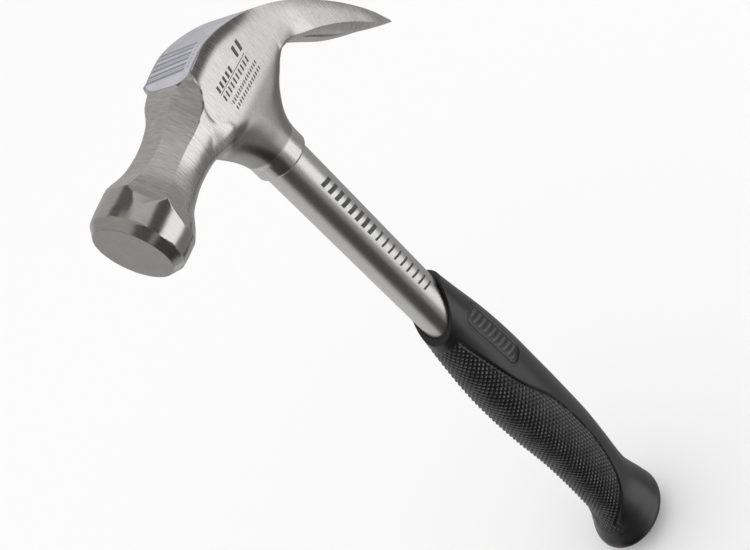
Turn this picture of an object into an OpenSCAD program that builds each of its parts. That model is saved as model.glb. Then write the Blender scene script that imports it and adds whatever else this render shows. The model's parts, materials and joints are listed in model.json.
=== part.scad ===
// Claw hammer with a tubular steel handle and a moulded rubber grip.
// Millimetres. +Z runs up the handle, the claws point toward +X and the striking face toward -X.
// The origin is on the handle axis, at the mouth of the collar under the head.

/* [Handle] */
// Outside diameter of the steel tube
tube_diameter = 18; // [17:0.5:18.5]
// Wall thickness of the steel tube
tube_wall = 2; // [1.2:0.1:3]
// Thickness of the adhesive between the tube and the eye
bond_thickness = 0.25; // [0.15:0.05:0.4]
// Depth of the tube inside the grip, below the collar mouth
tube_reach = 262; // [230:1:266]

/* [Striking end] */
// Diameter of the round bell behind the face
bell_diameter = 32; // [29:0.2:33]
// Diameter of the flat striking face
face_diameter = 26.8; // [22:0.2:27.6]
// Distance of the face from the handle axis
face_reach = 65.6; // [62:0.2:68]
// Angle by which the face hangs toward the handle
face_hang = 3.2; // [0:0.1:5]

/* [Claw] */
// Width between the two claws at the tips
slot_mouth = 8.4; // [6:0.2:10]
// Width at the closed end of the nail slot
slot_end = 1.6; // [1:0.1:3]
// Distance of the closed end of the nail slot from the handle axis
slot_start = 35; // [33:0.5:37.5]

/* [Grip] */
// Ratio of the grip's width across the hammer to its depth
grip_ovality = 0.81; // [0.72:0.01:0.95]
// Length of the whole grip, from its mouth to the butt
grip_length = 190; // [184:0.5:205]

/* [Label] */
// Thickness of the paper label
label_thickness = 0.2; // [0.1:0.05:0.4]
// Width of the label across the head
label_width = 23.2; // [16:0.2:25]

/* [Hidden] */
$fn = 64;

tube_r = tube_diameter / 2;
tube_bore_r = tube_r - tube_wall;
eye_r = tube_r + bond_thickness;
clearance = 1;
collar_r = 10.5;
collar_lip = 1.2;
collar_top = 9;
lip_knee = [0.35, 0.3];
bond_step = 0.3;
eye_bore_height = 70;
tube_top = 50;
plug_top = 50.6;
plug_depth = 34;
end_plug_depth = 12;
tip_x = 74;

face_z = 34;
bell_r = bell_diameter / 2;
bell_taper = 0.5;
bell_front_r = bell_r - bell_taper;
bell_inset = 0.3;
bevel_length = 3.2;
swell_length = 8;
bell_length = 14;
bell_back = 15.2;
bell_run_out = 1.2;
bell_back_r = bell_r - bell_run_out;
axis_rise = tan(face_hang);

// Head outlines as [x, value]; every value between two of them lies on a smooth curve.
top_line = [[-53, 51], [-51, 49.7], [-49, 49.1], [-45, 47.7], [-42, 47.1], [-38, 46.9], [-35, 46.9],
    [-31, 47.4], [-27, 48.4], [-22, 50], [-18, 51.4], [-14, 52.5], [-10, 53.2], [-3, 53.8], [3, 53.6],
    [12, 51.3], [24, 46], [36, 38], [48, 26.5], [60, 11.9], [74, -9.8]];
crease_line = [[-18, 30], [0, 28], [20, 28.6], [26, 29], [29.7, 27.5], [35.3, 23.6], [42, 19], [49, 13.5],
    [57, 6], [63, -0.6], [66.5, -4.4], [74, -10.7]];
keel_line = [[-18, 26], [0, 25], [20, 26], [26, 25.8], [31, 24.6], [36, 21.3], [42, 16.5], [48.5, 10.2],
    [52.5, 6], [57.5, 1.3], [65, -4.6], [74, -11]];
side_line = [[-24, 12.4], [-13, 12.8], [-6, 12.95], [8, 13.1], [26, 13], [44, 13.3], [58, 13.2],
    [67, 12.6], [74, 9.8]];
corner_line = [[-24, 0.5], [30, 0.5], [48, 0.9], [62, 1.2], [74, 0.4]];
keel_offset = 8;
keel_drop = 0.2;
slot_edge_rise = 1.5;
under_bow = 0.65;
half_points = 8;
ring_points = 2 * half_points;

// Neck as [x, value]: half width, depth below its axis, and how far down its upper bevels reach.
neck_side_line = [[-54, 16.1], [-52, 15.5], [-50, 14.7], [-47, 13.1], [-44, 12], [-41, 11.3], [-37, 10.8],
    [-33, 10.6], [-29, 10.7], [-25, 11.2], [-20, 12], [-10, 12.5]];
neck_deep_line = [[-56, 16.2], [-53, 15.5], [-50, 14.3], [-47, 12.8], [-43, 11.4], [-39, 10.6], [-33, 10.3],
    [-27, 10.5], [-20, 11.2], [-10, 12.5]];
bevel_line = [[-54, 6.2], [-45, 5.4], [-28, 5], [-22, 5.2], [-18, 6.3], [-14, 8]];
bevel_inset = 5.4;
neck_end = -19;
cheek_start = -11;
// Rounded lower half of the neck, as shares of its half width and depth.
neck_round = [[0.92, 0.43], [0.7, 0.75], [0.38, 0.94]];

// Web between the cheeks and the collar as [z, value].
throat_line = [[5, 10.2], [10, 11], [15, 13], [20, 17], [24, 21.2], [27, 25.3], [30, 30]];
chin_line = [[5, 10.2], [10, 11.5], [15, 13.8], [20, 16.8], [24, 19.8], [27, 23.6], [30, 27]];
web_side_line = [[5, 10.2], [12, 10.9], [18, 11.7], [24, 12.4], [30, 12.5]];
web_roundness = 0.78;
web_step = 15;
web_heights = [5:2.5:30];

// Grip as [height above the butt end as a share of the length, value].
grip_top = -84.5;
mouth_slope = 42;
rubber_lip = 1.1;
mouth_reach = [100, 80, 60];
mouth_half = 9.6;
mouth_power = 6;
grip_step = 10;
grip_depth = [[0, 5], [0.0065, 10.2], [0.021, 14], [0.047, 20.2], [0.089, 18.8], [0.125, 16.7], [0.167, 15.2],
    [0.219, 15.05], [0.282, 15.45], [0.407, 16.35], [0.528, 17.05], [0.621, 17.1], [0.716, 16.65], [0.82, 15],
    [0.935, 12.1], [1, 10.6]];
grip_shift = [[0, -2.4], [0.021, -1.6], [0.052, -1.8], [0.125, 0.15], [0.199, 0.4], [0.292, 1.4], [0.386, 1.9],
    [0.512, 1.1], [0.648, 0.6], [0.857, 1.2], [1, 0.9]];

// Value on the smooth curve through a list of [position, value] pairs.
function place(t, x, i = 0) = i >= len(t) - 2 || x < t[i + 1][0] ? i : place(t, x, i + 1);
function slope(t, i) =
    let (a = max(0, i - 1), b = min(len(t) - 1, i + 1))
    (t[b][1] - t[a][1]) / (t[b][0] - t[a][0]);
function curve(t, x) =
    let (i = place(t, x), h = t[i + 1][0] - t[i][0], u = min(1, max(0, (x - t[i][0]) / h)))
    (1 + 2 * u) * (1 - u) * (1 - u) * t[i][1] + u * (1 - u) * (1 - u) * h * slope(t, i)
    + u * u * (3 - 2 * u) * t[i + 1][1] + u * u * (u - 1) * h * slope(t, i + 1);

// Closed solid through a list of rings that all have the same number of points.
module skin(rings) {
    count = len(rings);
    n = len(rings[0]);
    points = [for (ring = rings) each ring];
    first_cap = [[for (i = [0:n - 1]) i]];
    last_cap = [[for (i = [n - 1:-1:0]) (count - 1) * n + i]];
    sides = [for (k = [0:count - 2]) for (i = [0:n - 1])
        let (j = (i + 1) % n, a = k * n + i, b = k * n + j, c = a + n, d = b + n)
        each [[a, c, b], [b, c, d]]];
    polyhedron(points = points, faces = concat(first_cap, sides, last_cap), convexity = 8);
}

// Height of the bell's and neck's axis at one distance along the hammer.
function axis_z(x) = face_z + (x + face_reach) * axis_rise;

// Moves an outline point toward that axis until it fits inside the bell.
function inside_bell(p, x) =
    let (rise = p[1] - axis_z(x), share = min(1, (bell_r - bell_inset) / norm([p[0], rise])))
    [p[0] * share, axis_z(x) + rise * share];

// Neck at one distance along the hammer, as one half of its outline from top to bottom.
function neck_half(x) =
    let (top = curve(top_line, x), side = curve(neck_side_line, x), deep = curve(neck_deep_line, x),
        axis = axis_z(x))
    concat(
        [for (p = [[0, top], [bevel_inset, top], [side, top - curve(bevel_line, x)]]) inside_bell(p, x)],
        [inside_bell([side, axis], x)],
        [for (share = neck_round) [side * share[0], axis - deep * share[1]]],
        [[0, axis - deep]]
    );

// Cheeks and claws in the same way: flat top, upright sides and a keel under each claw.
function cheek_half(x) =
    let (
        top = curve(top_line, x),
        crease = curve(crease_line, x),
        keel = min(curve(keel_line, x), crease - keel_drop),
        w = curve(side_line, x),
        c = min(curve(corner_line, x), (top - crease) / 2)
    )
    [[0, top], [w - c, top], [w, top - c], [w, (top + crease) / 2], [w, crease],
        [(w + keel_offset) / 2, crease + (keel - crease) * under_bow],
        [keel_offset, keel], [0, min(keel + slot_edge_rise, top - slot_edge_rise / 2)]];

// Half width of the nail slot at one distance.
function slot_half(x) =
    let (share = max(0, x - slot_start) / (tip_x - slot_start))
    (slot_end + share * (slot_mouth - slot_end)) / 2;

// Whole outline at one distance: the neck's, the cheeks' or a blend, kept clear of the nail slot.
function head_ring(x) =
    let (
        u = min(1, max(0, (x - neck_end) / (cheek_start - neck_end))),
        t = u * u * (3 - 2 * u),
        neck = neck_half(x),
        cheek = cheek_half(x),
        half = [for (i = [0:half_points - 1])
            let (p = neck[i] * (1 - t) + cheek[i] * t)
            [max(p[0], slot_half(x)), p[1]]]
    )
    concat([for (p = half) [x, -p[0], p[1]]], [for (i = [half_points - 1:-1:0]) [x, half[i][0], half[i][1]]]);

solid_stations = [each [-52:2:-44], each [-41:3:-23], each [-20:2:-10], -7, each [-4:4:32], slot_start];
claw_stations = [each [38:4:46], each [49:3:70], tip_x];

// Neck, cheeks and both claws in one: a closed solid that divides in two at the nail slot.
module head_body() {
    stations = concat(solid_stations, claw_stations);
    split = len(solid_stations) - 1;
    last = len(stations) - 1;
    points = [for (x = stations) each head_ring(x)];
    whole = [for (k = [0:split - 1]) for (i = [0:ring_points - 1])
        let (a = k * ring_points + i, b = k * ring_points + (i + 1) % ring_points)
        each [[a, a + ring_points, b], [b, a + ring_points, b + ring_points]]];
    halves = [for (k = [split:last - 1]) for (side = [0, half_points]) for (i = [0:half_points - 1])
        let (a = k * ring_points + side + i, b = k * ring_points + side + (i + 1) % half_points)
        each [[a, a + ring_points, b], [b, a + ring_points, b + ring_points]]];
    neck_cap = [[for (i = [0:ring_points - 1]) i]];
    slot_wall = [[for (i = [ring_points - 1, half_points, half_points - 1, 0]) split * ring_points + i]];
    tips = [for (side = [0, half_points]) [for (i = [half_points - 1:-1:0]) last * ring_points + side + i]];
    polyhedron(points = points, faces = concat(neck_cap, whole, slot_wall, halves, tips), convexity = 10);
}

// Web at one height: a rounded outline that grows from the collar to the cheeks.
function web_ring(z) =
    let (front = curve(chin_line, z), back = curve(throat_line, z), side = curve(web_side_line, z))
    [for (a = [0:web_step:360 - web_step])
        let (reach = cos(a) > 0 ? back : front, q = web_roundness)
        [sign(cos(a)) * reach * pow(abs(cos(a)), q), sign(sin(a)) * side * pow(abs(sin(a)), q), z]];

// Moves a shape from the striking face's own frame, where +Z runs into the head.
module at_face() {
    translate([-face_reach, 0, face_z])
        rotate([0, 90 - face_hang, 0])
            children();
}

// Round bell with a bevelled face, swelling a little and then running into the neck.
module bell() {
    profile = [[0, 0], [face_diameter / 2, 0], [bell_front_r, bevel_length], [bell_r, swell_length],
        [bell_r, bell_length], [bell_back_r, bell_back], [0, bell_back]];
    at_face()
        rotate_extrude()
            polygon(profile);
}

// Short round collar with a rolled lip, round the mouth of the eye.
module collar() {
    profile = [[0, 0], [collar_r - collar_lip, 0],
        [collar_r - collar_lip * lip_knee[0], collar_lip * lip_knee[1]],
        [collar_r, collar_lip], [collar_r, collar_top], [0, collar_top]];
    rotate_extrude()
        polygon(profile);
}

module head() {
    color("silver")
        difference() {
            union() {
                head_body();
                skin([for (z = web_heights) web_ring(z)]);
                bell();
                collar();
            }
            translate([0, 0, -clearance])
                cylinder(r = eye_r, h = eye_bore_height);
        }
}

// Steel tube, open at both ends until its plugs go in.
module handle_tube() {
    color("gainsboro")
        translate([0, 0, -tube_reach])
            difference() {
                cylinder(r = tube_r, h = tube_reach + tube_top);
                translate([0, 0, -clearance])
                    cylinder(r = tube_bore_r, h = tube_reach + tube_top + 2 * clearance);
            }
}

// Adhesive sleeve that fills the gap between tube and eye.
module eye_bond() {
    color("darkgoldenrod")
        translate([0, 0, -bond_step])
            difference() {
                cylinder(r = eye_r, h = tube_top + bond_step);
                translate([0, 0, -clearance])
                    cylinder(r = tube_r, h = tube_top + bond_step + 2 * clearance);
            }
}

// Wood plug in the top of the tube, with a thin head that covers the tube's rim.
module eye_plug() {
    color("burlywood") {
        translate([0, 0, plug_top - plug_depth])
            cylinder(r = tube_bore_r, h = plug_depth);
        translate([0, 0, tube_top])
            cylinder(r = tube_r, h = plug_top - tube_top);
    }
}

// Plug in the lower end of the tube, under the rubber.
module tube_end_plug() {
    color("dimgray")
        translate([0, 0, -tube_reach])
            cylinder(r = tube_bore_r, h = end_plug_depth);
}

// Grip at one share of its length: an ellipse that turns nearly round at the mouth.
function grip_ring(u) =
    let (
        depth = curve(grip_depth, u),
        width = depth * grip_ovality + mouth_half * (1 - grip_ovality) * pow(u, mouth_power),
        z = grip_top + (u - 1) * grip_length
    )
    [for (a = [0:grip_step:360 - grip_step]) [curve(grip_shift, u) + depth * cos(a), width * sin(a), z]];

grip_stations = [0, 0.0065, 0.013, 0.021, 0.034, each [0.047:0.02:0.267], each [0.3:0.035:0.98], 1];

// Rubber grip: an oval moulding with an oblique mouth, closed at the butt.
module grip() {
    color([0.08, 0.08, 0.09])
        difference() {
            skin([for (u = grip_stations) grip_ring(u)]);
            translate([0, 0, -tube_reach])
                cylinder(r = tube_r, h = tube_reach);
            translate([tube_r + rubber_lip, -mouth_reach[1] / 2, grip_top])
                rotate([0, -mouth_slope, 0])
                    translate([-mouth_reach[1], 0, 0])
                        cube(mouth_reach);
        }
}

// Paper label that follows the top of the head.
module barcode_label() {
    label_stations = [-13.6, -12, -10, -7, each [-4:4:24]];
    color("white")
        rotate([90, 0, 0])
            translate([0, 0, -label_width / 2])
                linear_extrude(height = label_width)
                    polygon(concat(
                        [for (x = label_stations) [x, curve(top_line, x)]],
                        [for (i = [len(label_stations) - 1:-1:0])
                            [label_stations[i], curve(top_line, label_stations[i]) + label_thickness]]
                    ));
}

head();
handle_tube();
eye_bond();
eye_plug();
tube_end_plug();
grip();
barcode_label();
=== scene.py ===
import json
import math
import bpy
import numpy as np
from mathutils import Matrix, Vector


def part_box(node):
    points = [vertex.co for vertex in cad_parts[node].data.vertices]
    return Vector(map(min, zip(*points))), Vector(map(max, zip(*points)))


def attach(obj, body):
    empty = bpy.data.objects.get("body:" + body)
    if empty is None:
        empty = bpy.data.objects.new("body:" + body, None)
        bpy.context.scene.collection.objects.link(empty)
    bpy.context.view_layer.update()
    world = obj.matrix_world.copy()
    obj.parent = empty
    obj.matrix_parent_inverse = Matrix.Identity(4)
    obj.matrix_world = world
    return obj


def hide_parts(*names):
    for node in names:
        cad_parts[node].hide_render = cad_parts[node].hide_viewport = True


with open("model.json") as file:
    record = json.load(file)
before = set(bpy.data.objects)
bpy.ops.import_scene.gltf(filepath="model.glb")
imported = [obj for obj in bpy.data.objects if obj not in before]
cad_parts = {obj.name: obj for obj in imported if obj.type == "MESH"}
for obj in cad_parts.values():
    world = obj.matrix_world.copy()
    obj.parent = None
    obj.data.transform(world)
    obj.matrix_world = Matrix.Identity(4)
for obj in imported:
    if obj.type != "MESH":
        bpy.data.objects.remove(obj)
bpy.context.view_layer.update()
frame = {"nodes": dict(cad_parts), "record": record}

# A claw hammer. Its shapes are worked out in millimetres in the CAD frame, and make_mesh turns
# them into metres: +Z runs up the handle, the claws point toward +X, and the origin is on the
# handle's axis at the mouth of the collar.
MM = 0.001


# ================================================================ sizes
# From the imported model.
grip_lo, grip_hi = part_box("grip")
label_lo, label_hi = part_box("barcode_label")
tube_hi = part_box("handle_tube")[1]
head_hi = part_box("head")[1]
TUBE_R = tube_hi[1] / MM
BUTT_Z = grip_lo[2] / MM
GRIP_TOP = grip_hi[2] / MM
GRIP_LENGTH = GRIP_TOP - BUTT_Z
TIP_X = head_hi[0] / MM
striking_face = next(m for m in frame["record"]["mounts"] if m["name"] == "striking_face")
FACE = Vector(striking_face["pos_m"]) / MM
INTO_HEAD = -np.array(striking_face["axis"])

# Head outlines as [x, value]: top, crease along each claw, keel under it, half width of cheeks and claws.
TOP = [[-53, 51], [-51, 49.7], [-49, 49.1], [-47, 48.3], [-45, 47.7], [-42, 47.1], [-38, 46.9],
       [-35, 46.9], [-31, 47.4], [-27, 48.4], [-22, 50], [-18, 51.4], [-14, 52.5], [-10, 53.2],
       [-3, 53.8], [3, 53.6], [12, 51.3], [24, 46], [36, 38], [48, 26.5], [60, 11.9], [74, -9.8]]
CREASE = [[20, 28.6], [26, 29], [29.7, 27.5], [35.3, 23.6], [42, 19], [49, 13.5], [57, 6], [63, -0.6],
          [66.5, -4.4], [74, -10.7]]
KEEL = [[20, 26], [26, 25.8], [31, 24.6], [36, 21.3], [42, 16.5], [48.5, 10.2], [52.5, 6],
        [57.5, 1.3], [65, -4.6], [74, -11]]
CHEEK = [[-24, 12.4], [-13, 12.8], [-6, 12.95], [8, 13.1], [26, 13], [44, 13.3], [58, 13.2],
         [67, 12.6], [74, 9.8]]
KEEL_OFFSET = 8.0
UNDER_BOW = 1.5
SLOT_EDGE_RISE = 1.5
CLAW_START = 16.0
CLAW_SINK = 2.5

# Cheeks: how much they crown in toward the top, and how the claw tips are rounded.
CROWN = 0.045
CROWN_DEPTH = 5.8
CROWN_MOST = 7.0
CROWN_LOSS = 0.8
TIP_TRIM = 0.1
TIP_ROUND = 0.012

# Neck as [distance behind the striking face, value]: half width, depth below its axis, and the
# bevels' lower and inner edges.
NECK_SIDE = [[10, 16.9], [12, 16.1], [13.5, 15.5], [15.3, 14.8], [16.5, 14.2], [18.9, 13],
             [21.5, 12], [24.3, 11.4], [28.6, 10.8], [32, 10.6], [36.5, 10.7], [40, 11.1],
             [44, 11.6], [50, 12.2], [60, 12.5]]
NECK_DEEP = [[8, 16.8], [10, 16.2], [12.7, 15.5], [15.2, 14.5], [17.8, 13.3], [20.2, 12.1],
             [22.9, 11.4], [25.8, 10.9], [28.6, 10.5], [32, 10.3], [36.5, 10.4], [40, 10.7],
             [46, 11.2], [52, 12], [60, 14]]
BEVEL_FOOT = [[12, 6.2], [15.3, 6], [20, 5.4], [30, 5], [37, 5], [42.7, 5.1], [47.7, 6.3],
              [51.5, 8], [54, 11], [55.4, 15.6], [60, 16.4]]
BEVEL_HEAD = [[12, 5.5], [30, 5.2], [44, 5.2], [50, 5.6], [60, 6]]
FAR_BEVEL_SHIFT = 2.4
NECK_SQUARE = 2.15
NECK_LIFT = 3.0
NECK_LEAST = 3.0
NECK_TAPER = 0.5
NECK_TAPER_X = -12.0

# Curved ridge where the cheeks stand proud of the neck, as [z, x].
RIDGE = [[12, -60], [20, -32], [24, -23.5], [27, -18.5], [30, -15], [32.7, -15], [36, -16.6],
         [38.9, -17.2], [41.4, -16.6], [44.6, -14.8], [48, -11.8], [52, -10.4], [58, -10.2]]
RIDGE_STEP = 2.2
RIDGE_FADE = 9.0

# Web between the cheeks and the collar as [z, value].
THROAT = [[0, 10.5], [6, 10.5], [10, 11], [15, 13], [20, 17], [24, 21.2], [27, 25.3], [31, 38],
          [34, 70], [60, 400]]
CHIN = [[0, 10.5], [6, 10.5], [10, 11.5], [15, 13.8], [20, 16.8], [24, 19.8], [27, 24], [30, 40],
        [33, 80], [60, 400]]
WEB_SIDE = [[0, 10.4], [6, 10.45], [12, 10.9], [18, 11.7], [24, 12.45], [29, 12.85], [34, 13.4],
            [60, 14]]
THROAT_SQUARE = [[0, 2], [9, 2.05], [16, 2.5], [22, 3.4], [27, 6], [31, 8], [60, 8]]
CHIN_SQUARE = [[0, 2], [9, 2.05], [20, 2.1], [26, 2.4], [31, 3], [60, 3]]
WEB_FOOT = 6.5

# Nail slot, half widths, with its upper edges eased.
SLOT_START = 35.0
SLOT_MOUTH = 4.2
SLOT_END = 0.8
SLOT_EASE = 0.6
SLOT_EASE_DEPTH = 2.0

# Bell, collar and eye. The bell's solid core is short, and behind it the neck is trimmed to the
# bell's round, from just inside the core to where the neck is thinner than the bell.
BELL_R = 16.0
BELL_TAPER = 0.5
SWELL_LENGTH = 8.0
FACE_R = 13.4
BEVEL_LENGTH = 3.2
BEVEL_DROP = BELL_R - 0.45 - FACE_R
CORE_LENGTH = 9.0
BELL_TRIM_START = 7.0
BELL_TRIM_END = 19.0
COLLAR_R = 10.5
COLLAR_TOP = 8.2
LIP_R = 1.2
BORE_R = 9.25

# Box that the head's field is sampled in, and the sampling step.
HEAD_LOW = (-67.7, -16.8, -13.6)
HEAD_HIGH = (75.4, 16.9, 55.2)
HEAD_STEP = 0.55

# Grip as [share of its length above the butt, value]: half depth, and shift toward the claws.
GRIP_DEPTH = [[0, 5], [0.0065, 10.2], [0.021, 14], [0.047, 20.2], [0.089, 18.8], [0.125, 16.7],
              [0.167, 15.2], [0.219, 15.05], [0.282, 15.45], [0.407, 16.35], [0.528, 17.05],
              [0.621, 17.1], [0.716, 16.65], [0.82, 15], [0.935, 12.1], [1, 10.6]]
GRIP_SHIFT = [[0, -2.4], [0.021, -1.6], [0.052, -1.8], [0.125, 0.15], [0.199, 0.4], [0.292, 1.4],
              [0.386, 1.9], [0.512, 1.1], [0.648, 0.6], [0.857, 1.2], [1, 0.9]]
GRIP_OVALITY = 0.81
MOUTH_HALF = 9.6
MOUTH_POWER = 6
AROUND = 224
ROWS = 420
BUTT_SHARES = [0.0, 0.0006, 0.0018, 0.004, 0.008]
FIRST_SHARE = 0.0125
MOUTH_RIM = ((0.9, 0.0), (0.45, 0.15), (0.12, 0.6), (0.08, 4.0))

# Studded zone, behind a groove as [z, x], and the panel on the near side.
GROOVE = [[-252, -16], [-246, -11], [-238.8, -5.3], [-226.5, 0.4], [-208.7, 3.9], [-189.6, 4.3],
          [-168, 2.2], [-146.7, -3.8], [-130.5, -6.4], [-112, -8.2]]
GROOVE_DEPTH = 0.8
GROOVE_HALF = 0.42
STUDS_AROUND = 36
STUD_PITCH = 2.8
STUD_HEIGHT = 0.55
STUD_SINK = 0.4
ZONE_TOP = -106.5
ZONE_FOOT = -257.0
PANEL_X = 4.3
PANEL_Z = -120.5
PANEL_HALF_X = 5.2
PANEL_HALF_Z = 17.5
PANEL_CORNER = 3.6
PANEL_DEPTH = 0.55
PANEL_RIM = 0.14
RIB_PITCH = 3.4
RIB_HEIGHT = 0.38
OUTSIDE = -9.0

# Label: its corners over the bell side are rounded, and its edges sag over the crowned head.
LABEL_LOW = label_lo[0] / MM
LABEL_HIGH = label_hi[0] / MM
LABEL_HALF = label_hi[1] / MM
LABEL_CORNER = 8.0
CORNER_OVAL = 0.62
LABEL_THICKNESS = 0.2
LABEL_LIFT = 0.12
LABEL_SAG = 0.35
LABEL_COLUMNS = 90
LABEL_ROWS = 64

FLOOR_HALF = 3000.0
FLOOR_GAP = 1.0


# ================================================================ curves and blends
def curve(points, x):
    """Smooth cubic through [position, value] pairs, held level beyond its ends."""
    p = np.array([q[0] for q in points], float)
    v = np.array([q[1] for q in points], float)
    m = np.empty_like(v)
    m[1:-1] = (v[2:] - v[:-2]) / (p[2:] - p[:-2])
    m[0] = (v[1] - v[0]) / (p[1] - p[0])
    m[-1] = (v[-1] - v[-2]) / (p[-1] - p[-2])
    x = np.asarray(x, float)
    i = np.clip(np.searchsorted(p, x, side="right") - 1, 0, len(p) - 2)
    h = p[i + 1] - p[i]
    u = np.clip((x - p[i]) / h, 0, 1)
    return ((1 + 2 * u) * (1 - u) ** 2 * v[i] + u * (1 - u) ** 2 * h * m[i]
            + u * u * (3 - 2 * u) * v[i + 1] + u * u * (u - 1) * h * m[i + 1])


def fade(value, start, end):
    """0 up to start, 1 from end on, and a smooth ramp between them. End may lie below start."""
    t = np.clip((value - start) / (end - start), 0, 1)
    return t * t * (3 - 2 * t)


def blend(a, b, k):
    """The lower of two fields, with a fillet about k wide where they meet."""
    h = np.maximum(k - np.abs(a - b), 0) / k
    return np.minimum(a, b) - h * h * k * 0.25


# ================================================================ head, as a field below zero inside
def from_face(x, z):
    """Distance behind the striking face, and height above the axis of bell and neck."""
    s = (x - FACE[0]) * INTO_HEAD[0] + (z - FACE[2]) * INTO_HEAD[2]
    return s, z - (FACE[2] + s * INTO_HEAD[2])


def neck_field(x, y, z, top, ridge):
    """Flat top, two ground bevels and a rounded lower half."""
    ya = np.abs(y)
    s, h = from_face(x, z)
    full = curve(NECK_SIDE, s)
    taper = NECK_TAPER * np.maximum(x - np.minimum(ridge, NECK_TAPER_X) - 0.5, 0)
    side = np.maximum(full - taper, NECK_LEAST)
    inner = curve(BEVEL_HEAD, s) + FAR_BEVEL_SHIFT * fade(s, 40, 48) * (y > 0)
    rise = top - (z - h) - curve(BEVEL_FOOT, s)
    run = np.maximum(full - inner, 0.5)
    bevel = ((ya - inner) * rise + (z - top) * run) / np.hypot(rise, run)
    lift = NECK_LIFT * (1 - 2 * fade(s, 43, 52))
    low = np.maximum(lift - h, 0) / (curve(NECK_DEEP, s) + lift)
    rounded = ((ya / side) ** NECK_SQUARE + low ** NECK_SQUARE) ** (1 / NECK_SQUARE) * side - side
    return np.maximum(bevel, np.where(low > 0, rounded, ya - side))


def web_field(x, y, z, wide):
    """From the cheeks down to the collar: rounded sections that spread toward throat and chin."""
    reach = np.where(x > 0, curve(THROAT, z), curve(CHIN, z))
    n = np.where(x > 0, curve(THROAT_SQUARE, z), curve(CHIN_SQUARE, z))
    size = ((np.abs(x) / reach) ** n + (np.abs(y) / wide) ** n) ** (1 / n)
    return np.maximum((size - 1) * np.minimum(reach, wide), WEB_FOOT - z)


def claw_field(x, y, z, lean, cheek, slim, crown):
    """Claws with a crease along the outer side, then a keel, then a slope up to the slot."""
    ya = np.abs(y)
    across = np.clip((cheek - ya) / (cheek - KEEL_OFFSET), 0, 1)
    past_keel = np.maximum(KEEL_OFFSET - ya, 0) / KEEL_OFFSET
    crease = curve(CREASE, x)
    under = crease + (curve(KEEL, x) - crease) * (1 - (1 - across) ** UNDER_BOW) - z
    under = (under + SLOT_EDGE_RISE * past_keel) * lean
    flank = cheek + (slim - cheek) * fade(x, 40, 29) - CLAW_SINK * fade(x, 24, 16)
    return np.maximum(np.maximum(ya - flank + crown, under), CLAW_START - x)


def join_neck(f, neck, x, z, ridge):
    """Cheeks and neck together. The curved ridge between them is crisp above and fades out below."""
    soft = fade(z, 38.5, 30.5)
    t = np.clip(1 + (x - ridge) / (RIDGE_STEP + RIDGE_FADE * soft), 0, 1)
    share = t * t * (1 + soft * (2 - 2 * t))
    return neck + (blend(f, neck, 0.02 + RIDGE_STEP * soft) - neck) * share


def slot_field(x, y, z, top):
    """Below zero outside the nail slot, which widens toward the tips and at its upper edges."""
    half = SLOT_END + np.maximum(x - SLOT_START, 0) / (TIP_X - SLOT_START) * (SLOT_MOUTH - SLOT_END)
    near_top = np.clip(z - top + SLOT_EASE_DEPTH, 0, SLOT_EASE_DEPTH)
    half = half + SLOT_EASE * near_top * fade(x, SLOT_START, SLOT_START + 5)
    return np.minimum(half - np.abs(y), x - SLOT_START + SLOT_END)


def collar_field(rho, z):
    """Short round collar with a rolled lip at its mouth."""
    inner = COLLAR_R - LIP_R
    lip = np.hypot(np.maximum(rho - inner, 0), np.maximum(LIP_R - z, 0)) - LIP_R
    wall = np.where((rho > inner) & (z < LIP_R), lip, rho - COLLAR_R)
    return np.maximum(wall, np.maximum(-z, z - COLLAR_TOP))


def join_bell(f, x, y, z):
    """Adds the turned bell and its ground bevel, and trims what lies behind it to the bell's round."""
    s = from_face(x, z)[0]
    px, pz = x - FACE[0], z - FACE[2]
    q = np.sqrt(np.maximum(px * px + y * y + pz * pz - s * s, 0))
    barrel = q - (BELL_R - BELL_TAPER * fade(s, SWELL_LENGTH, 0))
    bevel = ((q - FACE_R) * BEVEL_LENGTH - s * BEVEL_DROP) / np.hypot(BEVEL_LENGTH, BEVEL_DROP)
    core = np.maximum(np.maximum(barrel, bevel), s - CORE_LENGTH)
    trimmed = np.maximum(np.maximum(f, barrel), BELL_TRIM_START - s)
    f = np.where(s < BELL_TRIM_END, np.minimum(trimmed, core), f)
    return np.maximum(f, -s)


def head_field(x, y, z):
    """The whole forging. Each face is a smooth sheet, and an edge is where two sheets meet."""
    top = curve(TOP, x)
    lean = 1 / np.sqrt(1 + (curve(TOP, x + 0.5) - curve(TOP, x - 0.5)) ** 2)
    ridge = curve(RIDGE, z)
    cheek = curve(CHEEK, x)
    near_top = np.clip(z - top + CROWN_DEPTH, 0, CROWN_MOST)
    crown = CROWN * near_top ** 2 * (1 - CROWN_LOSS * fade(x, 10, 32))
    slim = blend(cheek, curve(WEB_SIDE, z), 0.8)
    claws = claw_field(x, y, z, lean, cheek, slim, crown)
    f = blend(claws, web_field(x, y, z, slim - crown), 0.02 + 1.6 * fade(z, 29.5, 25.5))
    f = join_neck(f, neck_field(x, y, z, top, ridge), x, z, ridge)
    f = np.maximum(f, (z - top) * lean)
    f = np.maximum(f, slot_field(x, y, z, top))
    f = np.maximum(f, x - TIP_X + TIP_TRIM + TIP_ROUND * (np.abs(y) - KEEL_OFFSET) ** 2)
    rho = np.sqrt(x * x + y * y)
    f = blend(f, collar_field(rho, z), 0.2)
    f = join_bell(f, x, y, z)
    return np.maximum(f, BORE_R - rho)


# ================================================================ meshes
# How often a crossing is halved, the reach of the probe for normals in mm, how weak a direction has
# to be to count as flat, and how far a vertex may leave its cell as a share of the step.
HALVINGS = 12
PROBE = 0.004
FLATNESS = 0.08
SLACK = 0.05


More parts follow.
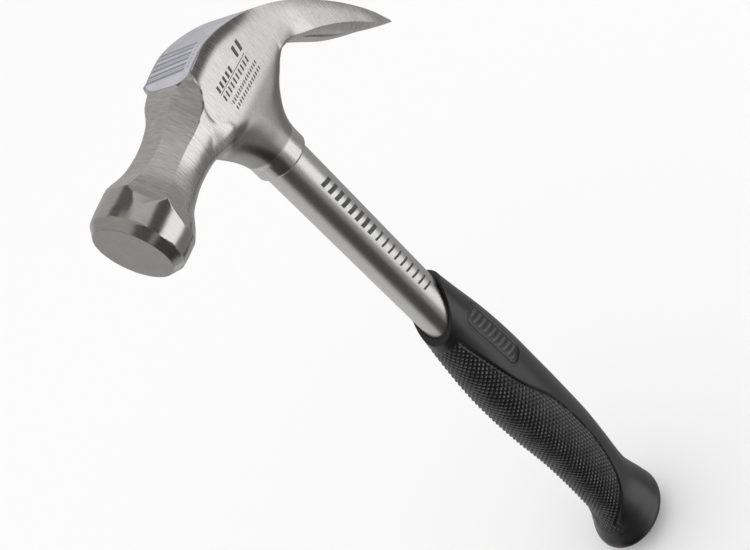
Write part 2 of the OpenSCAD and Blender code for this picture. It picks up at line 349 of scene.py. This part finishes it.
def gradient(field, p):
    """Unit normals of a field at a list of points."""
    x, y, z = p.T
    g = np.stack([field(x + PROBE * (k == 0), y + PROBE * (k == 1), z + PROBE * (k == 2))
                  - field(x - PROBE * (k == 0), y - PROBE * (k == 1), z - PROBE * (k == 2))
                  for k in range(3)], 1)
    return g / np.maximum(np.linalg.norm(g, axis=1, keepdims=True), 1e-9)


def crossings(field, values, axes, axis, step):
    """Where the surface cuts the grid lines along one axis: cell, point, normal, and whether it leaves."""
    low, high = [slice(None)] * 3, [slice(None)] * 3
    low[axis], high[axis] = slice(0, -1), slice(1, None)
    first, second = values[tuple(low)], values[tuple(high)]
    cell = np.argwhere((first < 0) != (second < 0))
    starts_in = first[tuple(cell.T)] < 0
    p0 = np.stack([axes[k][cell[:, k]] for k in range(3)], 1)
    t0, t1 = np.zeros(len(cell)), np.ones(len(cell))
    for _ in range(HALVINGS):
        middle = (t0 + t1) / 2
        p = p0.copy()
        p[:, axis] += middle * step
        same = (field(*p.T) < 0) == starts_in
        t0 = np.where(same, middle, t0)
        t1 = np.where(same, t1, middle)
    p = p0.copy()
    p[:, axis] += (t0 + t1) / 2 * step
    return cell, p, gradient(field, p), starts_in


def dual_contour(field, lo, hi, step):
    """Quads on the zero level of a field, with sharp edges kept. Returns vertices and quads."""
    axes = [np.arange(lo[i], hi[i] + step, step) for i in range(3)]
    values = field(*np.meshgrid(*axes, indexing="ij"))
    size = tuple(n - 1 for n in values.shape)
    cells = int(np.prod(size))
    count, mass = np.zeros(cells), np.zeros((cells, 3))
    ata, atb = np.zeros((cells, 3, 3)), np.zeros((cells, 3))
    quads = []
    for axis in range(3):
        cell, p, g, starts_in = crossings(field, values, axes, axis, step)
        first, second = [k for k in range(3) if k != axis]
        around = []
        for d1, d2 in ((-1, -1), (0, -1), (0, 0), (-1, 0)):
            c = cell.copy()
            c[:, first] += d1
            c[:, second] += d2
            around.append(np.ravel_multi_index(tuple(c.T), size))
        for flat in around:
            np.add.at(count, flat, 1)
            np.add.at(mass, flat, p)
            np.add.at(ata, flat, g[:, :, None] * g[:, None, :])
            np.add.at(atb, flat, g * np.sum(g * p, 1, keepdims=True))
        quad = np.stack(around, 1)
        forward = starts_in if axis != 1 else ~starts_in
        quad[~forward] = quad[~forward][:, ::-1]
        quads.append(quad)
    used = np.flatnonzero(count)
    centre = mass[used] / count[used][:, None]
    a = ata[used]
    b = atb[used] - np.einsum("nij,nj->ni", a, centre)
    w, q = np.linalg.eigh(a)
    keep = w > FLATNESS * np.maximum(w[:, -1:], 1e-9)
    inverse = np.where(keep, 1 / np.maximum(w, 1e-9), 0)
    move = np.einsum("nij,nj->ni", q, inverse * np.einsum("nji,nj->ni", q, b))
    cell = np.stack(np.unravel_index(used, size), 1)
    corner = np.stack([axes[k][cell[:, k]] for k in range(3)], 1)
    points = np.clip(centre + move, corner - SLACK * step, corner + (1 + SLACK) * step)
    number = np.full(cells, -1)
    number[used] = np.arange(len(used))
    return points, number[np.concatenate(quads)]


def make_mesh(name, verts, faces, sharp=30):
    """New object from corners in millimetres. Edges sharper than an angle in degrees stay crisp."""
    mesh = bpy.data.meshes.new(name)
    mesh.from_pydata((np.asarray(verts, float) * MM).tolist(), [], faces)
    mesh.validate()
    mesh.shade_smooth()
    mesh.set_sharp_from_angle(angle=math.radians(sharp))
    obj = bpy.data.objects.new(name, mesh)
    bpy.context.scene.collection.objects.link(obj)
    return obj


def set_attribute(obj, name, values):
    """Gives every vertex a number that the object's material reads."""
    layer = obj.data.attributes.new(name, "FLOAT", "POINT")
    layer.data.foreach_set("value", np.asarray(values, np.float32))


def ring_quads(rows, around):
    """Quads between each ring of points and the next."""
    i = np.arange(around)
    j = (i + 1) % around
    return np.concatenate([np.stack([k * around + i, k * around + j, (k + 1) * around + j,
                                     (k + 1) * around + i], 1) for k in range(rows - 1)]).tolist()


# ================================================================ shader helpers
def material(name):
    """New material, with its node tree and its surface shader."""
    m = bpy.data.materials.new(name)
    m.use_nodes = True
    return m, m.node_tree, m.node_tree.nodes["Principled BSDF"]


def add(nt, kind, **values):
    """New node, with inputs and properties set by name."""
    n = nt.nodes.new(kind)
    for k, v in values.items():
        if k in n.inputs:
            n.inputs[k].default_value = v
        else:
            setattr(n, k, v)
    return n


def plug(nt, value, socket):
    """Puts a number, a colour or another node's output into a socket."""
    if isinstance(value, (int, float)):
        socket.default_value = value
    elif isinstance(value, tuple):
        socket.default_value = (*value, 1)
    else:
        nt.links.new(value, socket)


def mapped(nt, *scale):
    """Object coordinates in metres, stretched by one or three factors."""
    mapping = add(nt, "ShaderNodeMapping", Scale=scale * 3 if len(scale) == 1 else scale)
    plug(nt, add(nt, "ShaderNodeTexCoord").outputs["Object"], mapping.inputs["Vector"])
    return mapping.outputs["Vector"]


def place(nt):
    """Object coordinates in millimetres, as separate x, y and z."""
    xyz = add(nt, "ShaderNodeSeparateXYZ")
    plug(nt, mapped(nt, 1 / MM), xyz.inputs[0])
    return xyz.outputs["X"], xyz.outputs["Y"], xyz.outputs["Z"]


def attribute(nt, name):
    """The number that set_attribute gave each vertex."""
    return add(nt, "ShaderNodeAttribute", attribute_name=name).outputs["Fac"]


def noise(nt, vector, detail, rough):
    """Cloudy pattern from 0 to 1. Its size is set by the stretched coordinates."""
    n = add(nt, "ShaderNodeTexNoise", Scale=1.0, Detail=detail, Roughness=rough)
    plug(nt, vector, n.inputs["Vector"])
    return n.outputs["Fac"]


def ramp(nt, fac, *stops):
    """Colour ramp through (position, colour) stops."""
    r = add(nt, "ShaderNodeValToRGB")
    ends = r.color_ramp.elements
    for element, (position, colour) in ((ends[0], stops[0]), (ends[1], stops[-1])):
        element.position = position
        element.color = (*colour, 1)
    for position, colour in stops[1:-1]:
        r.color_ramp.elements.new(position).color = (*colour, 1)
    plug(nt, fac, r.inputs["Fac"])
    return r.outputs["Color"]


def calc(nt, op, a, b=0.0, clamp=False):
    """One step of arithmetic on numbers and node outputs."""
    n = add(nt, "ShaderNodeMath", operation=op, use_clamp=clamp)
    plug(nt, a, n.inputs[0])
    plug(nt, b, n.inputs[1])
    return n.outputs[0]


def times(nt, *factors):
    """Product of numbers and node outputs."""
    out = factors[0]
    for f in factors[1:]:
        out = calc(nt, "MULTIPLY", out, f)
    return out


def plus(nt, *parts):
    """Sum of numbers and node outputs."""
    out = parts[0]
    for p in parts[1:]:
        out = calc(nt, "ADD", out, p)
    return out


def mix(nt, fac, a, b):
    """Colour a where fac is 0, colour b where it is 1."""
    n = add(nt, "ShaderNodeMix", data_type="RGBA")
    plug(nt, fac, n.inputs["Factor"])
    plug(nt, a, n.inputs[6])
    plug(nt, b, n.inputs[7])
    return n.outputs[2]


def bump(nt, height, strength, distance, bsdf):
    """Fine relief in the surface, with its depth in metres."""
    b = add(nt, "ShaderNodeBump", Strength=strength, Distance=distance)
    plug(nt, height, b.inputs["Height"])
    plug(nt, b.outputs["Normal"], bsdf.inputs["Normal"])


def within(nt, value, low, high):
    """1 where a value lies between two limits, 0 elsewhere."""
    n = add(nt, "ShaderNodeMath", operation="COMPARE")
    plug(nt, value, n.inputs[0])
    n.inputs[1].default_value = (low + high) / 2
    n.inputs[2].default_value = (high - low) / 2
    return n.outputs[0]


def stripes(nt, value, pitch, share):
    """Parallel bars: 1 over a share of every pitch."""
    return calc(nt, "LESS_THAN", calc(nt, "FRACT", calc(nt, "DIVIDE", value, pitch)), share)


# ================================================================ materials
# Plain bars that say nothing: x from, x to, middle height, half height, pitch, share filled.
ETCHED_ROWS = (
    (-8.7, 2.2, 42.0, 1.15, 2.2, 0.5),
    (6.5, 12.0, 43.6, 1.9, 2.9, 0.5),
    (-8.9, 9.7, 40.35, 0.12, 99, 1.0),
    (-9.3, 9.6, 38.5, 1.1, 1.9, 0.4),
    (-8.0, 11.0, 35.2, 0.65, 1.25, 0.45),
    (-8.0, 10.5, 32.9, 0.65, 1.35, 0.45),
)
ETCH_SLANT = -0.22
ETCH_COLOUR = (0.085, 0.07, 0.058)
NEAR_SIDE_Y = -10.0


def etched_mark(nt):
    """1 on the bars etched into the near cheek."""
    x, y, z = place(nt)
    slanted = plus(nt, x, times(nt, z, ETCH_SLANT))
    rows = [times(nt, within(nt, x, x0, x1), within(nt, z, middle - half, middle + half),
                  stripes(nt, slanted, pitch, share))
            for x0, x1, middle, half, pitch, share in ETCHED_ROWS]
    return times(nt, calc(nt, "MINIMUM", plus(nt, *rows), 1.0), calc(nt, "LESS_THAN", y, NEAR_SIDE_Y))


def head_material():
    """Steel ground in one direction, with a rougher forged web, a bright turned bell and a dull face."""
    m, nt, bsdf = material("ground_head_steel")
    ground, polish, face = (attribute(nt, name) for name in ("ground", "polish", "face"))
    lines = noise(nt, mapped(nt, 4300, 230, 200), 3, 0.6)
    fine = noise(nt, mapped(nt, 9000, 500, 450), 2, 0.6)
    blot = noise(nt, mapped(nt, 75), 4, 0.55)
    speck = noise(nt, mapped(nt, 1100), 2, 0.5)
    steel = ramp(nt, lines, (0.3, (0.44, 0.43, 0.415)), (0.52, (0.59, 0.58, 0.565)),
                 (0.72, (0.74, 0.735, 0.725)))
    forged = ramp(nt, plus(nt, times(nt, blot, 0.7), times(nt, speck, 0.3)),
                  (0.3, (0.27, 0.26, 0.245)), (0.7, (0.38, 0.368, 0.35)))
    shiny = ramp(nt, lines, (0.25, (0.48, 0.475, 0.465)), (0.75, (0.58, 0.575, 0.565)))
    dull = ramp(nt, plus(nt, times(nt, blot, 0.5), times(nt, speck, 0.5)),
                (0.3, (0.32, 0.31, 0.295)), (0.7, (0.39, 0.38, 0.365)))
    wear = calc(nt, "MULTIPLY", etched_mark(nt), plus(nt, times(nt, lines, 0.5), 0.6), clamp=True)
    colour = mix(nt, ground, forged, steel)
    colour = mix(nt, polish, colour, shiny)
    colour = mix(nt, face, colour, dull)
    plug(nt, mix(nt, wear, colour, ETCH_COLOUR), bsdf.inputs["Base Color"])
    bsdf.inputs["Metallic"].default_value = 1.0
    rough = plus(nt, times(nt, lines, 0.16), 0.16, times(nt, blot, 0.05), times(nt, polish, -0.1),
                 times(nt, face, 0.2), times(nt, wear, 0.3))
    plug(nt, rough, bsdf.inputs["Roughness"])
    unpolished = plus(nt, times(nt, polish, -0.85), 1.0)
    brushed = plus(nt, times(nt, lines, ground), times(nt, fine, 0.5))
    height = plus(nt, times(nt, brushed, unpolished), times(nt, speck, 0.15), times(nt, wear, -0.6))
    bump(nt, height, 0.3, 0.00006, bsdf)
    return m


# Print on the tube: plain bars, heavy ones near the head and light ones near the grip.
PRINT_TOP = -12.0
PRINT_CHANGE = -44.0
PRINT_FOOT = -80.0
PRINT_HALF = 2.5
PRINT_PITCH = 4.0
PRINT_SLANT = 0.3
PRINT_COLOUR = (0.02, 0.02, 0.022)


def tube_material():
    """Satin steel with the printed bars."""
    m, nt, bsdf = material("satin_tube_steel")
    x, y, z = place(nt)
    grain = noise(nt, mapped(nt, 2600, 2600, 2200), 3, 0.6)
    cloud = noise(nt, mapped(nt, 60, 60, 22), 3, 0.5)
    steel = ramp(nt, grain, (0.3, (0.5, 0.495, 0.485)), (0.7, (0.68, 0.675, 0.67)))
    slanted = plus(nt, z, times(nt, x, PRINT_SLANT))
    strip = times(nt, within(nt, x, -PRINT_HALF, PRINT_HALF), calc(nt, "LESS_THAN", y, 0.0))
    heavy = times(nt, within(nt, slanted, PRINT_CHANGE, PRINT_TOP),
                  stripes(nt, slanted, PRINT_PITCH, 0.5))
    light = times(nt, within(nt, slanted, PRINT_FOOT, PRINT_CHANGE),
                  stripes(nt, slanted, PRINT_PITCH, 0.28))
    ink = times(nt, strip, plus(nt, heavy, light))
    ink = calc(nt, "MULTIPLY", ink, plus(nt, times(nt, grain, 0.35), 0.75), clamp=True)
    plug(nt, mix(nt, ink, steel, PRINT_COLOUR), bsdf.inputs["Base Color"])
    plug(nt, calc(nt, "SUBTRACT", 1.0, ink), bsdf.inputs["Metallic"])
    rough = plus(nt, times(nt, cloud, 0.08), 0.27, times(nt, ink, 0.25))
    plug(nt, rough, bsdf.inputs["Roughness"])
    bump(nt, grain, 0.25, 0.00005, bsdf)
    return m


def rubber_material():
    """Black rubber, with painted shade in the grooves, between the studs and in the panel, and a painted
    grey highlight on the studs' crowns and the ribs.
    """
    m, nt, bsdf = material("moulded_grip_rubber")
    grain = noise(nt, mapped(nt, 3200), 3, 0.6)
    cloud = noise(nt, mapped(nt, 45, 45, 30), 4, 0.55)
    base = ramp(nt, cloud, (0.3, (0.0025, 0.0025, 0.003)), (0.7, (0.005, 0.005, 0.006)))
    # Painted shade: near-black painted into the grooves, between the studs and in the panel's well.
    base = mix(nt, times(nt, attribute(nt, "groove"), 0.9), base, (0.0015, 0.0015, 0.0015))
    # Painted highlight: grey painted on the studs' crowns and the ribs, in place of their glints.
    base = mix(nt, times(nt, attribute(nt, "painted_stud_glint"), 0.8), base, (0.19, 0.19, 0.195))
    plug(nt, base, bsdf.inputs["Base Color"])
    plug(nt, plus(nt, times(nt, grain, 0.12), 0.24, times(nt, cloud, 0.08)), bsdf.inputs["Roughness"])
    bsdf.inputs["Specular IOR Level"].default_value = 0.65
    bump(nt, grain, 0.25, 0.00005, bsdf)
    return m


def moulded_material(name, low, high, roughness):
    """Plain moulded stuff, mottled between two colours."""
    m, nt, bsdf = material(name)
    fine = noise(nt, mapped(nt, 900.0), 3, 0.55)
    coarse = noise(nt, mapped(nt, 100.0), 3, 0.5)
    plug(nt, ramp(nt, times(nt, plus(nt, fine, coarse), 0.5), (0.35, low), (0.65, high)),
         bsdf.inputs["Base Color"])
    plug(nt, plus(nt, times(nt, fine, 0.12), roughness), bsdf.inputs["Roughness"])
    bsdf.inputs["Metallic"].default_value = 0.0
    bump(nt, fine, 0.2, 0.00004, bsdf)
    return m


# Bars across the label, by distance along it. They are unevenly spaced and encode nothing.
BARS_LOW = -9.5
BARS_MIDDLE = 4.0
BARS_HIGH = 19.0
BARS_SIDE = -7.2
LABEL_INK = (0.12, 0.12, 0.16)


def label_material():
    """Coated paper with plain bars."""
    m, nt, bsdf = material("label_paper")
    x, y, _ = place(nt)
    fibre = noise(nt, mapped(nt, 1500), 4, 0.6)
    stain = noise(nt, mapped(nt, 120), 3, 0.5)
    paper = ramp(nt, times(nt, plus(nt, fibre, stain), 0.5), (0.35, (0.43, 0.43, 0.475)),
                 (0.65, (0.55, 0.55, 0.59)))
    along = plus(nt, x, times(nt, y, 0.12))
    side = plus(nt, y, times(nt, x, -0.05))
    dense = times(nt, within(nt, along, BARS_LOW, BARS_MIDDLE), stripes(nt, along, 2.3, 0.45))
    thin = times(nt, within(nt, along, BARS_LOW, BARS_MIDDLE), stripes(nt, along, 1.55, 0.22))
    upper = times(nt, within(nt, along, BARS_MIDDLE, BARS_HIGH), stripes(nt, along, 1.9, 0.3))
    bars = times(nt, calc(nt, "MINIMUM", plus(nt, dense, thin, times(nt, upper, 0.6)), 1.0),
                 calc(nt, "GREATER_THAN", side, BARS_SIDE))
    ticks = times(nt, within(nt, along, -9.0, 6.0), within(nt, side, -9.2, -8.2),
                  stripes(nt, along, 1.7, 0.4))
    ink = calc(nt, "MULTIPLY", plus(nt, bars, times(nt, ticks, 0.7)),
               plus(nt, times(nt, fibre, 0.5), 0.45), clamp=True)
    plug(nt, mix(nt, ink, paper, LABEL_INK), bsdf.inputs["Base Color"])
    plug(nt, plus(nt, times(nt, fibre, 0.15), 0.35), bsdf.inputs["Roughness"])
    bump(nt, fibre, 0.2, 0.00003, bsdf)
    return m


def wood_material():
    """End grain of a turned hardwood plug."""
    m, nt, bsdf = material("end_grain_wood")
    rings = add(nt, "ShaderNodeTexWave", wave_type="RINGS", rings_direction="Z", Scale=0.9,
                Distortion=3.0, Detail=2.0)
    plug(nt, mapped(nt, 220, 220, 12), rings.inputs["Vector"])
    fibre = noise(nt, mapped(nt, 1500, 1500, 60), 3, 0.6)
    figure = times(nt, plus(nt, rings.outputs["Fac"], fibre), 0.5)
    plug(nt, ramp(nt, figure, (0.25, (0.27, 0.16, 0.08)), (0.75, (0.52, 0.35, 0.2))),
         bsdf.inputs["Base Color"])
    plug(nt, plus(nt, times(nt, fibre, 0.2), 0.55), bsdf.inputs["Roughness"])
    bump(nt, figure, 0.3, 0.0001, bsdf)
    return m


# ================================================================ head
def head_zones(points):
    """How far each point is ground, polished, or on the striking face."""
    x, y, z = points[:, 0], np.abs(points[:, 1]), points[:, 2]
    behind = x - FACE[0]
    web = fade(z, 31, 27.5) * fade(x + 0.35 * (30 - z), -17, -14) * fade(x, 33, 30)
    collar = fade(z, 8.4, 7.6) * (np.hypot(x, y) < 20)
    on_bell = (behind < 14.6) & (np.hypot(y, z - FACE[2]) > 13.2)
    ground = np.clip(1 - web * (1 - collar), 0, 1)
    polish = np.clip(collar * 0.4 + on_bell, 0, 1)
    return ground, polish, from_face(x, z)[0] < 0.12


def make_head():
    points, quads = dual_contour(head_field, HEAD_LOW, HEAD_HIGH, HEAD_STEP)
    head = make_mesh("head_forging", points, quads.tolist(), sharp=26)
    for name, values in zip(("ground", "polish", "face"), head_zones(points)):
        set_attribute(head, name, values)
    head.data.materials.append(head_material())
    return head


head = make_head()
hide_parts("head")
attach(head, "root")


# ================================================================ grip
def mouth_z(x):
    """Height of the scooped mouth over the tube: low on the face side, a tongue on the claw side."""
    scoop = -91.3 + 1.5 * x + 0.035 * x * x + 0.22 * np.maximum(x - 3, 0) ** 2
    return np.minimum(scoop, GRIP_TOP)


def stud_peak(z, angle):
    """Height of the diamond studs from 0 to 1, cut by two families of slanting grooves."""
    across, along = angle / (2 * np.pi) * STUDS_AROUND, z / STUD_PITCH
    near = [np.abs((v + 0.5) % 1 - 0.5) for v in (across + along, across - along)]
    return np.clip(1.25 - 2.9 * np.maximum(near[0], near[1]), 0, 1)


def inside_panel(x, y, z):
    """Distance inward from the rounded edge of the panel, which is only on the near side."""
    qx = np.abs(x - PANEL_X) - PANEL_HALF_X + PANEL_CORNER
    qz = np.abs(z - PANEL_Z) - PANEL_HALF_Z + PANEL_CORNER
    beyond = np.hypot(np.maximum(qx, 0), np.maximum(qz, 0))
    inside = PANEL_CORNER - beyond - np.minimum(np.maximum(qx, qz), 0)
    return np.where(y < 0, inside, OUTSIDE)


def relief(x, y, z, angle):
    """How far the moulded surface stands out, how much painted shade it gets in a groove, between studs and
    in the panel, and how much painted highlight on a stud's crown or a rib.
    """
    behind = curve(GROOVE, z) - x
    top_edge = ZONE_TOP + 0.35 * (x + 8)
    zone = fade(behind, 0.7, 1.2) * fade(z, top_edge, top_edge - 1.2) * fade(z, ZONE_FOOT, ZONE_FOOT + 4)
    groove = np.exp(-((behind - 0.1) / GROOVE_HALF) ** 2) * fade(z, -256, -252) * fade(z, -106, -109)
    peak = stud_peak(z, angle)
    inside = inside_panel(x, y, z)
    well = fade(inside, 0, 0.5)
    rim = np.exp(-((inside + 0.45) / 0.4) ** 2)
    rib = fade(np.abs(((z + 0.5 * x) / RIB_PITCH) % 1 - 0.5), 0.34, 0.2) * fade(inside, 1.7, 2.2)
    out = zone * (STUD_HEIGHT * peak - STUD_SINK) - GROOVE_DEPTH * groove
    out = out - PANEL_DEPTH * well + PANEL_RIM * rim + RIB_HEIGHT * rib
    # Painted shade: share of near-black painted into the groove, between the studs and in the panel's well.
    painted_shade = np.clip(groove + zone * (1 - peak) * 0.7 + 0.8 * well * (inside < 0.8), 0, 1)
    # Painted highlight: share of grey painted on the studs' crowns, and more weakly on the ribs.
    painted_glint = np.clip(zone * fade(peak, 0.75, 1) + 0.35 * rib, 0, 1)
    return out, painted_shade, painted_glint


def grip_rings():
    """Rings from butt to mouth with the relief pressed in, and the shares of painted shade and painted
    highlight that colour them.
    """
    angle = np.linspace(0, 2 * np.pi, AROUND, endpoint=False)
    shares = np.concatenate([BUTT_SHARES, np.linspace(FIRST_SHARE, 1, ROWS - len(BUTT_SHARES))])
    rings, painted_shades, painted_glints = [], [], []
    for u in shares:
        depth, shift = float(curve(GRIP_DEPTH, u)), float(curve(GRIP_SHIFT, u))
        width = depth * GRIP_OVALITY + MOUTH_HALF * (1 - GRIP_OVALITY) * u ** MOUTH_POWER
        x, y = shift + depth * np.cos(angle), width * np.sin(angle)
        z = np.full(AROUND, BUTT_Z + u * GRIP_LENGTH)
        nx, ny = np.cos(angle) / depth, np.sin(angle) / width
        size = np.hypot(nx, ny)
        out, painted_shade, painted_glint = relief(x, y, z, angle)
        rings.append(np.stack([x + nx / size * out, y + ny / size * out, z], 1))
        painted_shades.append(painted_shade)
        painted_glints.append(painted_glint)
    rings = np.array(rings)
    rings[:, :, 2] = np.minimum(rings[:, :, 2], mouth_z(np.clip(rings[:, :, 0], -12, 10)))
    return rings, painted_shades, painted_glints


def rim_rings(edge):
    """Rings that turn from the edge of the mouth down to the tube."""
    spread = np.hypot(edge[:, 0], edge[:, 1])
    rings = []
    for gap, sink in MOUTH_RIM:
        k = np.minimum((TUBE_R + gap) / spread, 1)
        x, y = edge[:, 0] * k, edge[:, 1] * k
        rings.append(np.stack([x, y, mouth_z(x) - sink], 1))
    return rings


def make_grip():
    rings, painted_shades, painted_glints = grip_rings()
    rim = rim_rings(rings[-1])
    points = np.concatenate([rings, rim]).reshape(-1, 3)
    cap = len(points)
    points = np.vstack([points, [[float(curve(GRIP_SHIFT, 0.0)), 0, BUTT_Z]]])
    fan = [(cap, (i + 1) % AROUND, i) for i in range(AROUND)]
    faces = ring_quads(len(rings) + len(rim), AROUND) + fan
    grip = make_mesh("rubber_grip", points, faces, sharp=50)
    plain = np.zeros(len(rim) * AROUND + 1)
    # The first attribute carries painted shade, the second painted highlight.
    for name, values in (("groove", painted_shades), ("painted_stud_glint", painted_glints)):
        set_attribute(grip, name, np.append(np.array(values).ravel(), plain))
    grip.data.materials.append(rubber_material())
    return grip


grip = make_grip()
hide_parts("grip")
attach(grip, "root")


# ================================================================ label
def label_sheet():
    """Upper side of the label, column by column from the bell side to the claw side."""
    share, across = np.meshgrid(np.linspace(0, 1, LABEL_COLUMNS), np.linspace(-1, 1, LABEL_ROWS),
                                indexing="ij")
    y = across * LABEL_HALF
    cut = np.maximum(np.abs(y) - (LABEL_HALF - LABEL_CORNER), 0)
    rounding = LABEL_CORNER - np.sqrt(np.maximum(LABEL_CORNER ** 2 - cut ** 2, 0.0))
    start = LABEL_LOW + rounding * CORNER_OVAL
    x = start + (LABEL_HIGH - start) * share
    z = curve(TOP, x) + LABEL_LIFT - LABEL_SAG * fade(np.abs(y), 9.5, 12.5)
    return np.stack([x, y, z], -1).reshape(-1, 3)


def make_label():
    upper = label_sheet()
    lower = upper - np.array([0, 0, LABEL_THICKNESS])
    count = len(upper)
    number = np.arange(count).reshape(LABEL_COLUMNS, LABEL_ROWS)
    sheet = np.stack([number[:-1, :-1], number[1:, :-1], number[1:, 1:], number[:-1, 1:]], -1).reshape(-1, 4)
    rim = np.concatenate([number[:, 0], number[-1, 1:], number[-2::-1, -1], number[0, -2:0:-1]])
    after = np.roll(rim, -1)
    walls = np.stack([rim, rim + count, after + count, after], 1)
    faces = np.vstack([sheet, sheet[:, ::-1] + count, walls]).tolist()
    label = make_mesh("price_label", np.vstack([upper, lower]), faces, sharp=40)
    label.data.materials.append(label_material())
    return label


label = make_label()
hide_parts("barcode_label")
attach(label, "root")


# ================================================================ nodes kept from the CAD
CAD_MATERIALS = {
    "handle_tube": tube_material(),
    "eye_bond": moulded_material("amber_adhesive", (0.2, 0.13, 0.05), (0.36, 0.25, 0.1), 0.35),
    "eye_plug": wood_material(),
    "tube_end_plug": moulded_material("black_plug_plastic", (0.02, 0.02, 0.02), (0.04, 0.04, 0.04), 0.45),
}
for node, look in CAD_MATERIALS.items():
    materials = frame["nodes"][node].data.materials
    materials.clear()
    materials.append(look)


# ================================================================ floor
def make_floor():
    corners = [(-FLOOR_HALF, -FLOOR_HALF, 0), (FLOOR_HALF, -FLOOR_HALF, 0),
               (FLOOR_HALF, FLOOR_HALF, 0), (-FLOOR_HALF, FLOOR_HALF, 0)]
    floor = make_mesh("floor", corners, [(0, 1, 2, 3)])
    floor.location.z = (BUTT_Z - FLOOR_GAP) * MM
    m, _, bsdf = material("pale_floor")
    bsdf.inputs["Base Color"].default_value = (0.98, 0.98, 0.98, 1)
    bsdf.inputs["Roughness"].default_value = 0.9
    floor.data.materials.append(m)
    return floor


floor = make_floor()
floor.visible_glossy = False


# ================================================================ studio light
def grey(level, warm=0.0):
    """Grey of one brightness, tinted a little toward red when warm is above 0."""
    return (level * (1 + warm), level, level * (1 - warm))


# Soft-edged patches that the steel reflects, each laid over the ones before it. Angles in degrees:
# azimuth and its half width, elevation and its half height, softness of the edge, brightness.
ROOM = grey(0.40)
PATCHES = (
    (125, 48, -38, 34, 10, grey(0.72)),        # pale wall beyond the claws
    (56, 34, 30, 36, 8, grey(0.50, 0.02)),     # mid grey behind
    (-155, 33, -42, 34, 9, grey(0.06, 0.12)),  # dark floor on the face side
    (-130, 26, 18, 18, 6, grey(0.09, 0.06)),   # dark behind the viewer
    (-172, 36, 62, 18, 6, grey(0.42, 0.06)),   # dim ceiling on the face side
    (20, 52, 66, 12, 3, grey(0.12, 0.04)),     # gap overhead
    (-50, 27, 48, 20, 3, grey(0.64, 0.02)),    # upper softbox
    (-65, 38, 13, 14, 4, grey(0.10, 0.03)),    # gap between the softboxes
    (-72, 25, -25, 20, 5, grey(1.45)),         # main softbox
    (-45, 40, -66, 18, 6, grey(0.26, 0.03)),   # floor below it
)


def soft_band(nt, offset, half, soft):
    """1 within half of zero, 0 beyond it, with an edge as wide as soft to either side."""
    band = add(nt, "ShaderNodeMapRange", interpolation_type="SMOOTHSTEP")
    plug(nt, calc(nt, "ABSOLUTE", offset), band.inputs["Value"])
    band.inputs["From Min"].default_value = math.radians(half - soft)
    band.inputs["From Max"].default_value = math.radians(half + soft)
    band.inputs["To Min"].default_value = 1.0
    band.inputs["To Max"].default_value = 0.0
    return band.outputs["Result"]


def patch(nt, below, directions, azimuth, half_azimuth, elevation, half_elevation, soft, tint):
    """Lays one patch over what is below it."""
    turn = add(nt, "ShaderNodeMath", operation="WRAP")
    plug(nt, calc(nt, "SUBTRACT", directions[0], math.radians(azimuth)), turn.inputs[0])
    turn.inputs[1].default_value = math.pi
    turn.inputs[2].default_value = -math.pi
    tilt = calc(nt, "SUBTRACT", directions[1], math.radians(elevation))
    fac = times(nt, soft_band(nt, turn.outputs[0], half_azimuth, soft),
                soft_band(nt, tilt, half_elevation, soft))
    return mix(nt, fac, below, tint)


def light_world():
    """White all round for the floor and the matt parts, and the patches for what reflects."""
    world = bpy.data.worlds.new("studio")
    world.use_nodes = True
    nt = world.node_tree
    ray = add(nt, "ShaderNodeSeparateXYZ")
    plug(nt, add(nt, "ShaderNodeTexCoord").outputs["Generated"], ray.inputs[0])
    directions = (calc(nt, "ARCTAN2", ray.outputs["Y"], ray.outputs["X"]),
                  calc(nt, "ARCSINE", ray.outputs["Z"]))
    studio = ROOM
    for values in PATCHES:
        studio = patch(nt, studio, directions, *values)
    glossy = add(nt, "ShaderNodeLightPath").outputs["Is Glossy Ray"]
    background = nt.nodes["Background"]
    plug(nt, mix(nt, glossy, (1.0, 1.0, 1.0), studio), background.inputs["Color"])
    background.inputs["Strength"].default_value = 1.0
    return world


bpy.context.scene.world = light_world()


# ================================================================ camera
# From the near side, the striking end and above, turned about its own axis.
CAMERA_PLACE = (-214.9, -303.3, 202.6)
CAMERA_AZIMUTH = -124.3294
CAMERA_ELEVATION = 35.6032
CAMERA_ROLL = -45.5564
SENSOR_WIDTH = 36
LENS = 57.6


def make_camera():
    data = bpy.data.cameras.new("camera")
    data.sensor_width = SENSOR_WIDTH
    data.lens = LENS
    data.clip_start = 0.01
    camera = bpy.data.objects.new("camera", data)
    turns = ((90 + CAMERA_AZIMUTH, "Z"), (90 - CAMERA_ELEVATION, "X"), (CAMERA_ROLL, "Z"))
    camera.matrix_world = Matrix.Translation(Vector(CAMERA_PLACE) * MM)
    for angle, axis in turns:
        camera.matrix_world = camera.matrix_world @ Matrix.Rotation(math.radians(angle), 4, axis)
    bpy.context.scene.collection.objects.link(camera)
    return camera


bpy.context.scene.camera = make_camera()
bpy.context.scene.view_settings.view_transform = "Standard"

bpy.context.view_layer.update()
